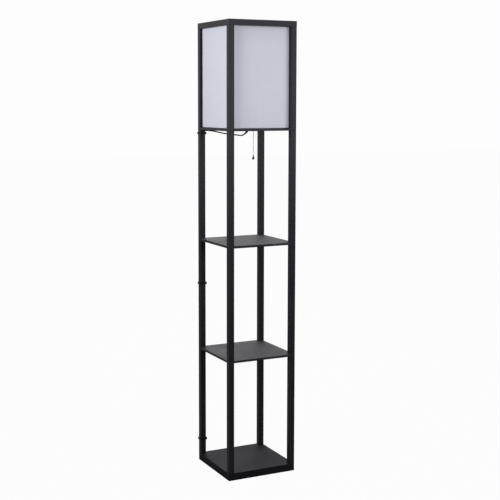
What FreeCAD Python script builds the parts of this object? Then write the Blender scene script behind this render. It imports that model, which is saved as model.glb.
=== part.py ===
import FreeCAD, Part
import math
import os
from FreeCAD import Vector

# Shelf floor lamp. Millimetres, +Z up, origin on the floor under the middle of the base.
# The photograph's wide face looks along -Y and its narrow face along -X.

# ---- Frame ----
frame_side = 260.0
frame_height = 1600.0
post_side = 20.0
base_thickness = 26.0
board_thickness = 8.0
bay_height = 393.5
top_rail_height = 20.0
edge_round = 0.8

# ---- Fasteners of the frame ----
stud_radius = 3.0
stud_reach = 16.0
insert_wall = 1.6
insert_length = 14.0
fit_gap = 0.05
bolt_head_radius = 5.0
bolt_head_height = 5.0
bolt_head_recess = 12.0
bolt_head_play = 1.0
dowel_radius = 3.0
dowel_length = 30.0
dowel_offset = 4.0
rail_dowel_radius = 2.5
rail_dowel_length = 30.0
rail_dowel_offset = 4.5

# ---- Deck and shade ----
window_margin = 40.0
window_corner = 6.0
shade_side_inset = 9.0
shade_post_gap = 0.3
shade_wall = 1.0
shade_corner = 3.0
shade_foot_gap = 2.0
shade_head_gap = 0.4
ring_wire_radius = 1.5
ring_gap = 0.15

# ---- Bar that carries the lampholder ----
bar_width = 22.0
bar_thickness = 2.0
bar_overlap = 14.0
bar_screw_inset = 8.4
bar_screw_radius = 1.9
bar_screw_length = 6.5
bar_screw_head_radius = 3.6
bar_screw_head_height = 2.4
bar_screw_slot = 0.8

# ---- Lampholder ----
nipple_radius = 5.0
nipple_bore_radius = 3.6
nipple_below = 8.0
nipple_above = 7.0
nut_width = 14.0
nut_height = 4.0
holder_radius = 18.0
holder_wall = 0.8
cap_height = 20.0
shell_overlap = 4.0
holder_height = 62.0
layer_gap = 0.2
liner_wall = 0.6
core_bottom = 12.0
core_height = 22.0
screw_shell_radius = 13.9
screw_shell_wall = 0.4
screw_shell_height = 25.0
contact_width = 5.0
contact_length = 16.0
contact_wall = 0.8
contact_rise = 2.0

# ---- Pull switch and chain ----
pull_travel = 8.0
drum_quarter = math.pi / 2
drum_width = 7.0
drum_centre_x = 5.0
drum_centre_height = 20.0
drum_pin_radius = 1.2
drum_pin_length = 20.0
pocket_gap = 0.6
chain_x = 28.0
bead_radius = 1.6
bead_pitch = 4.5
link_radius = 0.5
joint_spacing = 3.7
guide_wall = 1.0
guide_bore_radius = 2.4
guide_drop = 11.0
bell_radius = 5.2
bell_height = 4.0
middle_bead_count = 2
connector_radius = 2.0
connector_height = 5.0
connector_foot = 1.2
connector_crown = 0.8
connector_floor = 0.6
chain_end_gap = 1.0
knob_radius = 4.5
knob_neck_radius = 1.9
knob_height = 14.0
knob_drop = 105.5

# ---- Bulb ----
bulb_radius = 30.0
bulb_length = 108.0
bulb_cap_radius = 13.0
bulb_cap_height = 20.0
bulb_button_radius = 4.5
bulb_button_height = 3.0
bulb_neck_radius = 14.0
bulb_neck_height = 6.0
bulb_neck_draw = 2.0
bulb_wall = 1.0
bulb_seat_gap = 0.1
bulb_thread_count = 5
bulb_thread_depth = 0.7
bulb_foot_slant = 1.2
bulb_foot_inset = 2.0

# ---- Lead ----
cord_radius = 2.3
relief_collar_radius = 5.0
relief_collar_height = 3.4
relief_ball_radius = 4.5
relief_tail_radius = 3.1
relief_plug_length = 6.0
relief_ball_rise = 0.6
relief_root_share = 0.85
hank_run = 88.0
hank_pitch = 5.35
hank_layer = 5.1
hank_fold_radius = 13.8
hank_x = -25.0
hank_back_gap = 1.0
hank_draw = 8.5
hank_waist = 5.0
hank_shoulder = 36.0
hank_lift = 1.3
hank_waist_climb = 0.43
hank_tie_width = 6.0
hank_tie_wall = 0.9
hank_tie_gap = 0.2
plug_width = 22.0
plug_thickness = 13.0
plug_length = 25.0
plug_relief_length = 16.0
plug_relief_radius = 3.6
plug_relief_inset = 1.5
plug_relief_overlap = 2.0
plug_edge = 3.0
blade_spacing = 12.7
blade_width = 6.35
blade_thickness = 1.5
blade_length = 16.0
plug_back_gap = 1.2
plug_lead_run = 9.0
hank_lead_run = 12.0

# ---- Ties round the post and the lead ----
top_tie_drop = 12.5
middle_tie_rise = 237.0
low_tie_rise = 56.0
tie_width = 7.2
tie_wall = 1.3
tie_lead_gap = 0.6
tie_side_gap = 1.6
tie_front_gap = 0.2
tie_head_depth = 3.6
tie_head_side = 7.0
tie_head_height = 9.0
tie_search_count = 20

# Route of the lead from its sleeve to the start of the hank, point by point.
lead_route = [
    (-3.2, 3.3, 1210.6),
    (-6.4, 6.6, 1206.2),
    (-10.9, 11.1, 1203.6),
    (-18.9, 19.3, 1203.9),
    (-35.0, 35.7, 1206.0),
    (-54.6, 55.7, 1208.9),
    (-70.6, 71.6, 1212.9),
    (-87.0, 88.6, 1218.0),
    (-98.0, 106.0, 1219.4),
    (-101.4, 119.0, 1219.6),
    (-102.6, 129.6, 1218.2),
    (-105.8, 137.0, 1212.0),
    (-110.2, 140.2, 1203.2),
    (-114.2, 139.3, 1193.4),
    (-117.0, 137.2, 1180.2),
    (-118.6, 135.2, 1160.0),
    (-119.4, 134.1, 1124.0),
    (-119.2, 134.3, 1066.0),
    (-118.5, 135.1, 1002.0),
    (-117.6, 135.7, 936.0),
    (-117.1, 135.8, 870.0),
    (-117.3, 135.3, 806.0),
    (-118.2, 134.4, 742.0),
    (-119.1, 133.6, 690.0),
    (-119.6, 133.4, 636.0),
    (-119.7, 133.9, 578.0),
    (-119.3, 134.8, 514.0),
    (-118.5, 135.6, 448.0),
    (-117.9, 135.8, 382.0),
    (-118.1, 135.4, 318.0),
    (-118.8, 134.6, 254.0),
    (-119.5, 133.8, 192.0),
    (-119.9, 133.4, 132.0),
    (-119.8, 133.3, 84.0),
    (-119.3, 133.6, 48.0),
    (-118.2, 133.9, 28.0),
    (-115.0, 134.1, 17.4),
    (-108.4, 134.2, 8.9),
    (-98.8, 133.9, 4.0),
]
# Steps of the lead from the hank's end towards the plug: along, back and up.
tail_steps = [(10.0, 0.0, 0.0), (20.0, 1.6, -0.9), (30.5, 5.2, -1.3)]
tail_length = 40.0

# ---- Levels and places that follow from the sizes above ----
half_side = frame_side / 2
post_centre = half_side - post_side / 2
post_inner = half_side - post_side
lower_shelf_z = base_thickness + bay_height
upper_shelf_z = lower_shelf_z + board_thickness + bay_height
deck_z = upper_shelf_z + board_thickness + bay_height
deck_top = deck_z + board_thickness
top_rail_z = frame_height - top_rail_height
window_side = frame_side - 2 * window_margin
bar_top = deck_top + bar_thickness
knob_bottom_z = deck_z - knob_drop
tie_heights = (
    deck_z - top_tie_drop,
    lower_shelf_z + board_thickness + middle_tie_rise,
    base_thickness + low_tie_rise,
)
corners = {
    "front_left": (-1, -1),
    "front_right": (1, -1),
    "back_left": (-1, 1),
    "back_right": (1, 1),
}
up = Vector(0, 0, 1)
down = Vector(0, 0, -1)


def box(low, high):
    """A block between two opposite corners."""
    size = [b - a for a, b in zip(low, high)]
    return Part.makeBox(*size, Vector(*low))


def rod(radius, length, start, direction=up):
    """A round bar from start along direction."""
    return Part.makeCylinder(radius, length, Vector(*start), direction)


def turned(profile, centre=(0.0, 0.0)):
    """A solid turned about a vertical axis from (radius, height) points, given anticlockwise."""
    points = [Vector(centre[0] + r, centre[1], z) for r, z in profile]
    face = Part.Face(Part.makePolygon(points + points[:1]))
    return face.revolve(Vector(*centre, 0), up, 360)


def join(solids):
    """One solid from pieces that run into each other."""
    whole = solids[0].fuse(solids[1:]) if len(solids) > 1 else solids[0]
    whole = whole.removeSplitter()
    return whole.Solids[0] if len(whole.Solids) == 1 else whole


def drilled(solid, tools):
    """The solid with every tool cut out of it."""
    for tool in tools:
        solid = solid.cut(tool)
    return solid


def rounded_block(low, high, radius, axis="z"):
    """A block whose edges along one axis are rounded."""
    block = box(low, high)
    index = "xyz".index(axis)
    edges = []
    for edge in block.Edges:
        a, b = [v.Point for v in edge.Vertexes]
        if abs((b - a)[index]) > 1e-6:
            edges.append(edge)
    return block.makeFillet(radius, edges)


def softened(block, radius):
    """A block with all twelve edges rounded."""
    return block.makeFillet(radius, block.Edges)


def ring_tube(half_x, half_y, corner, low, high):
    """A solid rounded rectangle, upright, centred on the axis."""
    return rounded_block((-half_x, -half_y, low), (half_x, half_y, high), corner)


nodes = {}


def keep(name, shape):
    """Remember a piece under its name."""
    nodes[name] = shape


# ---- Corner holes that all posts and boards share ----
insert_radius = stud_radius + insert_wall


def at_corners(make):
    """The four solids from make(x, y) at the corner posts' centres."""
    return [make(sx * post_centre, sy * post_centre) for sx, sy in corners.values()]


def dowel_place(sx, sy):
    """Where the upright dowel stands in a corner, off the post's centre."""
    return sx * (post_centre + dowel_offset), sy * (post_centre + dowel_offset)


# ---- Base ----
def base_slab():
    """The base board, with a bolt hole and a deep seat for its head under each post."""
    slab = softened(
        box((-half_side, -half_side, 0), (half_side, half_side, base_thickness)), edge_round
    )
    holes = at_corners(
        lambda x, y: rod(stud_radius + fit_gap, base_thickness + 2, (x, y, -1))
    )
    seats = at_corners(
        lambda x, y: rod(bolt_head_radius + bolt_head_play, bolt_head_recess + 1, (x, y, -1))
    )
    return drilled(slab, holes + seats)


def base_bolts():
    """Bolts whose heads sit in the base and whose ends reach the lower posts' inserts."""
    length = base_thickness - bolt_head_recess + insert_length

    def bolt(x, y):
        head_z = bolt_head_recess - bolt_head_height
        head = rod(bolt_head_radius, bolt_head_height, (x, y, head_z))
        shank = rod(stud_radius, length, (x, y, bolt_head_recess))
        socket = hexagon(stud_radius * 2, bolt_head_height / 2, (x, y, head_z))
        return join([head, shank]).cut(socket)

    return Part.makeCompound(at_corners(bolt))


def hexagon(across_flats, height, place):
    """A six-sided bar standing at a place."""
    radius = across_flats / math.sqrt(3)
    x, y, z = place
    ring = [
        Vector(x + radius * math.cos(i * math.pi / 3), y + radius * math.sin(i * math.pi / 3), z)
        for i in range(6)
    ]
    return Part.Face(Part.makePolygon(ring + ring[:1])).extrude(up * height)


# ---- Posts ----
def post(sx, sy, low, high, top_hole):
    """A post segment with the insert's hole below and a stud's or dowel's hole above."""
    x, y = sx * post_centre, sy * post_centre
    half = post_side / 2
    body = rounded_block((x - half, y - half, low), (x + half, y + half, high), edge_round)
    insert_hole = rod(insert_radius + fit_gap, insert_length + fit_gap, (x, y, low))
    clearance = rod(stud_radius + fit_gap, stud_reach + 1, (x, y, low))
    return drilled(body, [insert_hole, clearance, top_hole])


def tier(prefix, low, high, studded):
    """The four post segments of one level."""
    for corner, (sx, sy) in corners.items():
        if studded:
            x, y = sx * post_centre, sy * post_centre
            hole = rod(stud_radius + fit_gap, stud_reach, (x, y, high - stud_reach))
        else:
            x, y = dowel_place(sx, sy)
            depth = dowel_length / 2
            hole = rod(dowel_radius + fit_gap, depth, (x, y, high - depth))
        keep(f"{prefix}_post_{corner}", post(sx, sy, low, high, hole))


# ---- Boards ----
def board(z):
    """A shelf board that the studs pass through at its corners."""
    plate = softened(
        box((-half_side, -half_side, z), (half_side, half_side, z + board_thickness)), edge_round
    )
    holes = at_corners(
        lambda x, y: rod(stud_radius + fit_gap, board_thickness + 2, (x, y, z - 1))
    )
    return drilled(plate, holes)


bar_screw_y = window_side / 2 + bar_screw_inset


def lamp_deck():
    """The board under the shade, with its window and the bar's screw holes."""
    half = window_side / 2
    window = ring_tube(half, half, window_corner, deck_z - 1, deck_top + 1)
    pilots = [
        rod(bar_screw_radius + fit_gap, bar_screw_length, (0, side * bar_screw_y, deck_top), down)
        for side in (-1, 1)
    ]
    return drilled(board(deck_z), [window] + pilots)


# ---- Top rails ----
def top_rails():
    """Front and back rails over the posts, and side rails between them."""
    width = post_side
    for side, name in ((-1, "front"), (1, "back")):
        y0, y1 = sorted((side * half_side, side * (half_side - width)))
        rail = rounded_block(
            (-half_side, y0, top_rail_z), (half_side, y1, frame_height), edge_round, "x"
        )
        holes = []
        for sx in (-1, 1):
            x, y = dowel_place(sx, side)
            depth = dowel_length / 2
            holes.append(rod(dowel_radius + fit_gap, depth, (x, y, top_rail_z)))
            holes.append(rail_dowel(sx, side, rail_dowel_radius + fit_gap, fit_gap))
        keep(f"top_rail_{name}", drilled(rail, holes))
    for side, name in ((-1, "left"), (1, "right")):
        x0, x1 = sorted((side * half_side, side * (half_side - width)))
        reach = half_side - width
        rail = rounded_block(
            (x0, -reach, top_rail_z), (x1, reach, frame_height), edge_round, "y"
        )
        holes = [rail_dowel(side, sy, rail_dowel_radius + fit_gap, fit_gap) for sy in (-1, 1)]
        keep(f"top_rail_{name}", drilled(rail, holes))


def rail_dowel(sx, sy, radius, spare):
    """The level dowel, or its hole, between a side rail and the front or back rail."""
    x = sx * (post_centre - rail_dowel_offset)
    z = top_rail_z + top_rail_height / 2
    half = rail_dowel_length / 2 + spare
    middle = post_inner
    return rod(radius, 2 * half, (x, sy * middle - half, z), Vector(0, 1, 0))


def frame_dowels():
    """Upright dowels from posts to rails and level dowels between the rails."""
    solids = []
    for sx, sy in corners.values():
        x, y = dowel_place(sx, sy)
        half = dowel_length / 2 - fit_gap
        solids.append(rod(dowel_radius, 2 * half, (x, y, top_rail_z - half)))
        solids.append(rail_dowel(sx, sy, rail_dowel_radius, 0))
    return Part.makeCompound(solids)


def joining_studs():
    """Studs that run from a post's top, through a board, into the next post's insert."""
    solids = []
    for z in (lower_shelf_z, upper_shelf_z, deck_z):
        length = stud_reach + board_thickness + insert_length
        solids += at_corners(lambda x, y: rod(stud_radius, length, (x, y, z - stud_reach)))
    return Part.makeCompound(solids)


def stud_inserts():
    """Threaded inserts at the foot of every post segment."""
    solids = []
    for z in (base_thickness, lower_shelf_z + board_thickness, upper_shelf_z + board_thickness,
              deck_top):
        solids += at_corners(
            lambda x, y: rod(insert_radius, insert_length, (x, y, z)).cut(
                rod(stud_radius + fit_gap, insert_length + 2, (x, y, z - 1))
            )
        )
    return Part.makeCompound(solids)


# ---- Shade ----
shade_half_x = half_side - shade_side_inset
shade_half_y = post_inner - shade_post_gap
shade_low = deck_top + shade_foot_gap
shade_high = top_rail_z - shade_head_gap


def shade_wrap():
    """The shade: one square tube of fabric on a stiff liner."""
    outer = ring_tube(shade_half_x, shade_half_y, shade_corner, shade_low, shade_high)
    inner = ring_tube(
        shade_half_x - shade_wall,
        shade_half_y - shade_wall,
        shade_corner - shade_wall,
        shade_low - 1,
        shade_high + 1,
    )
    return outer.cut(inner)


def shade_ring(z):
    """A wire ring lying just inside the shade, with its wire's centre at height z."""
    inset = shade_wall + ring_gap + ring_wire_radius
    half_x, half_y = shade_half_x - inset, shade_half_y - inset
    bend = shade_corner + ring_wire_radius
    edges = []
    for sx, sy, quarter in ((1, 1, 0), (-1, 1, 1), (-1, -1, 2), (1, -1, 3)):
        centre = Vector(sx * (half_x - bend), sy * (half_y - bend), z)
        arc = [
            centre + Vector(bend * math.cos(a), bend * math.sin(a), 0)
            for a in [(quarter + step / 2) * math.pi / 2 for step in range(3)]
        ]
        if edges:
            edges.append(Part.LineSegment(edges[-1].Vertexes[-1].Point, arc[0]).toShape())
        edges.append(Part.Arc(*arc).toShape())
    edges.append(Part.LineSegment(edges[-1].Vertexes[-1].Point, edges[0].Vertexes[0].Point).toShape())
    path = Part.Wire(edges)
    start = edges[0].Vertexes[0].Point
    section = Part.Wire([Part.makeCircle(ring_wire_radius, start, Vector(0, 1, 0))])
    return path.makePipeShell([section], True, False)


# ---- Bar, stem and nuts ----
def socket_bar():
    """The steel bar across the window, with holes for the stem and its two screws."""
    reach = window_side / 2 + bar_overlap
    bar = rounded_block(
        (-bar_width / 2, -reach, deck_top), (bar_width / 2, reach, bar_top), bar_width / 4
    )
    holes = [rod(nipple_radius + layer_gap, bar_thickness + 2, (0, 0, deck_top - 1))]
    for side in (-1, 1):
        hole = rod(bar_screw_radius + layer_gap, bar_thickness + 2,
                   (0, side * bar_screw_y, deck_top - 1))
        holes.append(hole)
    return drilled(bar, holes)


def bar_screws():
    """Two pan-head screws that hold the bar on the deck."""
    solids = []
    for side in (-1, 1):
        y = side * bar_screw_y
        depth = bar_thickness + bar_screw_length - fit_gap
        shank = rod(bar_screw_radius, depth, (0, y, bar_top), down)
        head = rod(bar_screw_head_radius, bar_screw_head_height, (0, y, bar_top))
        head = head.makeFillet(bar_screw_head_height * 0.4, [head.Edges[0]])
        half_slot = bar_screw_slot / 2
        slot = box((-bar_screw_head_radius, y - half_slot, bar_top + bar_screw_head_height / 2),
                   (bar_screw_head_radius, y + half_slot, bar_top + bar_screw_head_height + 1))
        solids.append(join([shank, head]).cut(slot))
    return Part.makeCompound(solids)


def mounting_nipple():
    """The hollow threaded stem that the lead comes down through."""
    low = deck_top - nipple_below
    length = nipple_below + bar_thickness + nipple_above
    return rod(nipple_radius, length, (0, 0, low)).cut(
        rod(nipple_bore_radius, length + 2, (0, 0, low - 1))
    )


def nipple_nuts():
    """One nut under the bar and one inside the lampholder's cap."""
    solids = []
    for z in (deck_top - nut_height, bar_top + holder_wall):
        bore = rod(nipple_radius + fit_gap, nut_height + 2, (0, 0, z - 1))
        solids.append(hexagon(nut_width, nut_height, (0, 0, z)).cut(bore))
    return Part.makeCompound(solids)


# ---- Lampholder ----
shell_radius = holder_radius - holder_wall - layer_gap
liner_radius = shell_radius - holder_wall - layer_gap
core_radius = liner_radius - liner_wall - layer_gap
core_z = bar_top + core_bottom
core_top = core_z + core_height
shell_z = bar_top + cap_height - shell_overlap
holder_top = bar_top + holder_height
drum_radius = pull_travel / drum_quarter
drum_z = bar_top + drum_centre_height
guide_z = drum_z + drum_radius
guide_radius = guide_bore_radius + guide_wall
guide_mouth_z = guide_z - guide_drop


def cup(radius, wall, low, high, floor=0.0):
    """A round tube, or a cup where its floor has a thickness."""
    bore_low = low + floor if floor else low - 1
    bore = rod(radius - wall, high + 1 - bore_low, (0, 0, bore_low))
    return rod(radius, high - low, (0, 0, low)).cut(bore)


def guide_way(radius):
    """The round way that the chain guide needs through the shell and its liner."""
    return rod(radius, holder_radius, (core_radius, 0, guide_z), Vector(1, 0, 0))


def holder_cap():
    """The cap under the lampholder."""
    body = cup(holder_radius, holder_wall, bar_top, bar_top + cap_height, holder_wall)
    hole = rod(nipple_radius + layer_gap, holder_wall + 2, (0, 0, bar_top - 1))
    return drilled(body, [hole])


def holder_shell():
    """The metal shell, which slips into the cap and stands round the bulb's foot."""
    body = cup(shell_radius, holder_wall, shell_z, holder_top)
    lip = turned([
        (shell_radius - holder_wall, holder_top - holder_wall),
        (shell_radius, holder_top - holder_wall),
        (shell_radius + holder_wall, holder_top - holder_wall / 2),
        (shell_radius, holder_top),
        (shell_radius - holder_wall, holder_top),
    ])
    return drilled(join([body, lip]), [guide_way(guide_radius + layer_gap)])


def holder_liner():
    """The insulating sleeve inside the shell."""
    body = cup(liner_radius, liner_wall, core_z, holder_top - 1)
    return drilled(body, [guide_way(guide_radius + layer_gap)])


def holder_core():
    """The moulded core with the drum's pocket, which opens towards the chain guide."""
    body = rod(core_radius, core_height, (0, 0, core_z))
    half_width = drum_width / 2 + pocket_gap
    reach = drum_radius + pocket_gap
    pocket = box((drum_centre_x - reach, -half_width, drum_z - reach),
                 (core_radius + 1, half_width, drum_z + reach))
    way = rod(guide_radius + layer_gap, holder_radius, (drum_centre_x + drum_radius, 0, guide_z),
              Vector(1, 0, 0))
    pin = drum_pin_solid(drum_pin_radius + fit_gap, fit_gap)
    return drilled(body, [pocket, way, pin])


def drum_pin_solid(radius, spare):
    """The drum's pin, or its hole."""
    half = drum_pin_length / 2 + spare
    return rod(radius, 2 * half, (drum_centre_x, -half, drum_z), Vector(0, 1, 0))


def switch_drum():
    """The drum that a pull of the chain turns, with four notches for its contacts."""
    half = drum_width / 2
    body = rod(drum_radius, drum_width, (drum_centre_x, -half, drum_z), Vector(0, 1, 0))
    bore = drum_pin_solid(drum_pin_radius + fit_gap, 0)
    notches = []
    for turn in range(4):
        angle = (turn + 0.5) * math.pi / 2
        place = (drum_centre_x + drum_radius * math.cos(angle), -half - 1,
                 drum_z + drum_radius * math.sin(angle))
        notches.append(rod(drum_pin_radius, drum_width / 2, place, Vector(0, 1, 0)))
    return drilled(body, [bore] + notches)


def screw_shell():
    """The threaded shell that the bulb's cap goes into, standing on the core."""
    tube = cup(screw_shell_radius, screw_shell_wall, core_top, core_top + screw_shell_height)
    rim = rod(screw_shell_radius, contact_wall, (0, 0, core_top)).cut(
        rod(contact_length / 2 + 1, contact_wall + 2, (0, 0, core_top - 1))
    )
    return join([tube, rim])


def centre_contact():
    """The sprung tongue under the bulb's centre button."""
    half_length, half_width = contact_length / 2, contact_width / 2
    foot = box((-half_length, -half_width, core_top),
               (half_length, half_width, core_top + contact_wall))
    rise = rod(half_width, contact_rise - contact_wall, (0, 0, core_top + contact_wall))
    return join([foot, rise])


def chain_guide():
    """The elbow out of the shell and the bell that the chain hangs from."""
    start_x = core_radius + layer_gap
    out = Vector(1, 0, 0)
    bend = join([
        rod(guide_radius, chain_x - start_x, (start_x, 0, guide_z), out),
        Part.makeSphere(guide_radius, Vector(chain_x, 0, guide_z)),
        rod(guide_radius, guide_drop, (chain_x, 0, guide_z), down),
        Part.makeCone(bell_radius, guide_radius, bell_height, Vector(chain_x, 0, guide_mouth_z)),
    ])
    bores = [
        rod(guide_bore_radius, chain_x - start_x + 1, (start_x - 1, 0, guide_z), out),
        Part.makeSphere(guide_bore_radius, Vector(chain_x, 0, guide_z)),
        rod(guide_bore_radius, guide_drop + 1, (chain_x, 0, guide_z), down),
        Part.makeCone(bell_radius - guide_wall, guide_bore_radius, bell_height,
                      Vector(chain_x, 0, guide_mouth_z - 0.01)),
    ]
    return drilled(bend, bores)


# ---- Chain ----
def beads(top_z, count):
    """A string of beads hanging down from its top bead's centre."""
    parts = [
        Part.makeSphere(bead_radius, Vector(chain_x, 0, top_z - i * bead_pitch))
        for i in range(count)
    ]
    if count > 1:
        parts.append(rod(link_radius, (count - 1) * bead_pitch, (chain_x, 0, top_z), down))
    return join(parts)


top_bead_z = guide_z
top_bead_count = int((guide_drop - bead_radius / 2) / bead_pitch) + 1
top_low_z = top_bead_z - (top_bead_count - 1) * bead_pitch
swing_side_z = top_low_z - joint_spacing / 2
middle_top_z = top_low_z - joint_spacing
middle_low_z = middle_top_z - (middle_bead_count - 1) * bead_pitch
swing_front_z = middle_low_z - joint_spacing / 2
lower_top_z = middle_low_z - joint_spacing
knob_top_z = knob_bottom_z + knob_height
connector_top_z = knob_top_z + connector_height
lower_bead_count = int((lower_top_z - connector_top_z) / bead_pitch) + 1
connector_pocket_radius = 0.8 * (bead_radius + layer_gap)


def pull_chain_lower():
    """The long lower length of chain, whose last wire runs into the connector."""
    string = beads(lower_top_z, lower_bead_count)
    last_z = lower_top_z - (lower_bead_count - 1) * bead_pitch
    tail = rod(link_radius, last_z - knob_top_z - chain_end_gap, (chain_x, 0, last_z), down)
    return join([string, tail])


def chain_connector():
    """The small bell that joins the chain to its knob."""
    low, high = knob_top_z, connector_top_z
    body = turned([
        (0, low),
        (connector_radius * 0.7, low),
        (connector_radius, low + connector_foot),
        (connector_radius, high - connector_crown),
        (connector_radius * 0.8, high),
        (0, high),
    ], (chain_x, 0.0))
    way = rod(link_radius + layer_gap, high - low, (chain_x, 0, low + connector_floor))
    pocket = Part.makeSphere(connector_pocket_radius, Vector(chain_x, 0, high + layer_gap))
    return drilled(body, [way, pocket])


def pull_knob():
    """The drop-shaped knob: a ball whose sides run straight up to its narrow neck."""
    middle_z = knob_bottom_z + knob_radius
    rise = knob_top_z - middle_z
    lean = math.atan2(rise, knob_neck_radius)
    turn = math.acos(knob_radius / math.hypot(rise, knob_neck_radius))

    def on_ball(angle):
        return Vector(chain_x + knob_radius * math.cos(angle), 0,
                      middle_z + knob_radius * math.sin(angle))

    crown = Vector(chain_x, 0, knob_top_z)
    neck = Vector(chain_x + knob_neck_radius, 0, knob_top_z)
    shoulder = on_ball(lean - turn)
    foot = on_ball(-math.pi / 2)
    edges = [
        Part.LineSegment(crown, neck).toShape(),
        Part.LineSegment(neck, shoulder).toShape(),
        Part.Arc(shoulder, on_ball(-math.pi / 5), foot).toShape(),
        Part.LineSegment(foot, crown).toShape(),
    ]
    return Part.Face(Part.Wire(edges)).revolve(Vector(chain_x, 0, 0), up, 360)


# ---- Bulb ----
bulb_z = core_top + contact_rise + bulb_seat_gap
bulb_shell_z = bulb_z + bulb_button_height
bulb_rim_z = bulb_shell_z + bulb_cap_height
bulb_centre_z = bulb_z + bulb_length - bulb_radius


def bulb_cap():
    """The screw cap with rounded threads, its insulator and its centre button."""
    pitch = bulb_cap_height / (bulb_thread_count + 1)
    root = bulb_cap_radius - bulb_thread_depth
    profile = [
        (0, bulb_z),
        (bulb_button_radius, bulb_z),
        (bulb_button_radius + bulb_foot_slant, bulb_z + bulb_foot_slant),
        (bulb_cap_radius - bulb_foot_inset, bulb_shell_z),
    ]
    for turn in range(bulb_thread_count):
        z = bulb_shell_z + turn * pitch
        profile += [(root, z + 0.2 * pitch), (bulb_cap_radius, z + 0.6 * pitch)]
    profile += [(root, bulb_rim_z - 0.9 * pitch), (root, bulb_rim_z), (0, bulb_rim_z)]
    return turned(profile)


def bulb_glass():
    """The envelope: a shell that widens from its neck to a ball."""
    def envelope(inset):
        neck = bulb_neck_radius - inset
        ball = bulb_radius - inset
        low = bulb_rim_z + fit_gap
        shoulder_z = low + bulb_neck_height
        join_angle = math.radians(-38)
        meet = Vector(ball * math.cos(join_angle), 0, bulb_centre_z + ball * math.sin(join_angle))
        belly = Vector(ball * math.cos(0.4), 0, bulb_centre_z + ball * math.sin(0.4))
        crown = Vector(0, 0, bulb_centre_z + ball)
        middle = Vector((neck + meet.x) / 2 - bulb_neck_draw, 0, (shoulder_z + meet.z) / 2)
        edges = [
            Part.LineSegment(Vector(0, 0, low), Vector(neck, 0, low)).toShape(),
            Part.LineSegment(Vector(neck, 0, low), Vector(neck, 0, shoulder_z)).toShape(),
            Part.Arc(Vector(neck, 0, shoulder_z), middle, meet).toShape(),
            Part.Arc(meet, belly, crown).toShape(),
            Part.LineSegment(crown, Vector(0, 0, low)).toShape(),
        ]
        return Part.Face(Part.Wire(edges)).revolve(Vector(0, 0, 0), up, 360)

    return envelope(0).cut(envelope(bulb_wall))


# ---- Lead ----
def rounded_path(points):
    """Straight runs joined by tangent arcs, each as large as its two runs allow."""
    points = [Vector(*p) for p in points]
    edges, radii, last = [], [], points[0]
    for before, corner, after in zip(points, points[1:], points[2:]):
        back, ahead = before - corner, after - corner
        half_turn = (math.pi - back.getAngle(ahead)) / 2
        trim = 0.45 * min(back.Length, ahead.Length)
        radii.append(trim / math.tan(half_turn))
        back.normalize()
        ahead.normalize()
        start, end = corner + back * trim, corner + ahead * trim
        inward = (back + ahead).normalize()
        centre = corner + inward * (radii[-1] / math.cos(half_turn))
        middle = centre - inward * radii[-1]
        edges.append(Part.LineSegment(last, start).toShape())
        edges.append(Part.Arc(start, middle, end).toShape())
        last = end
    edges.append(Part.LineSegment(last, points[-1]).toShape())
    return edges, radii


def tube(edges, name, radii):
    """A round tube along a chain of edges, with its volume compared with section x length."""
    path = Part.Wire(edges)
    first = edges[0]
    start = first.Vertexes[0].Point
    section = Part.Wire([Part.makeCircle(cord_radius, start, first.tangentAt(first.FirstParameter))])
    solid = path.makePipeShell([section], True, False)
    expected = math.pi * cord_radius**2 * path.Length
    print(f"{name}: length {path.Length:.1f}, volume ratio {solid.Volume / expected:.4f}, "
          f"radii from {min(radii):.1f}: {[round(r) for r in radii]}")
    return solid


def hank_edges():
    """The spare length: runs drawn in at the waist, spiralling in below and out above."""
    inner_near = -(hank_fold_radius + hank_pitch / 4)
    inner_far = hank_fold_radius - hank_pitch / 4
    y_mid = half_side + hank_back_gap + cord_radius - inner_near + hank_pitch
    runs = [
        (inner_near - hank_pitch, 0, 0),
        (inner_far + hank_pitch, 0, 0),
        (inner_near, 0, 0),
        (inner_far, 0, 1),
        (inner_near, 1, 1),
        (inner_far + hank_pitch, 1, 1),
        (inner_near - hank_pitch, 1, 1),
    ]
    edges = []
    radii = []
    half = hank_run / 2
    for index, (across, low_layer, high_layer) in enumerate(runs):
        way = 1 if index % 2 == 0 else -1
        drawn = across - math.copysign(hank_draw, across)
        z0 = cord_radius + low_layer * hank_layer
        z1 = cord_radius + high_layer * hank_layer
        start_u = half + 2 * cord_radius if index == 0 else half
        end_u = half + 2 * cord_radius if index == len(runs) - 1 else half
        points = [
            (-way * start_u, across, z0),
            (-way * hank_shoulder, across, z0),
            (-way * hank_waist, drawn, z0 + (z1 - z0) * hank_waist_climb + hank_lift),
            (way * hank_waist, drawn, z1 - (z1 - z0) * hank_waist_climb + hank_lift),
            (way * hank_shoulder, across, z1),
            (way * end_u, across, z1),
        ]
        placed = [(hank_x + u, y_mid + w, z) for u, w, z in points]
        more, turns = rounded_path(placed)
        edges += more
        radii += turns
        if index < len(runs) - 1:
            following = runs[index + 1][0]
            centre_w = (across + following) / 2
            fold = abs(across - following) / 2
            radii.append(fold)
            edges.append(Part.Arc(
                Vector(hank_x + way * half, y_mid + across, z1),
                Vector(hank_x + way * (half + fold), y_mid + centre_w, z1),
                Vector(hank_x + way * half, y_mid + following, z1),
            ).toShape())
    return edges, radii, y_mid


def self_gap(edges, step=2.0):
    """The least gap between parts of a wound tube that aren't next to each other."""
    points = []
    for edge in edges:
        count = max(2, int(edge.Length / step))
        points += edge.discretize(Number=count)[:-1]
    least = 1e9
    skip = int(6 * cord_radius / step)
    for i, a in enumerate(points):
        for b in points[i + skip:]:
            least = min(least, a.distanceToPoint(b))
    return least - 2 * cord_radius


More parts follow.
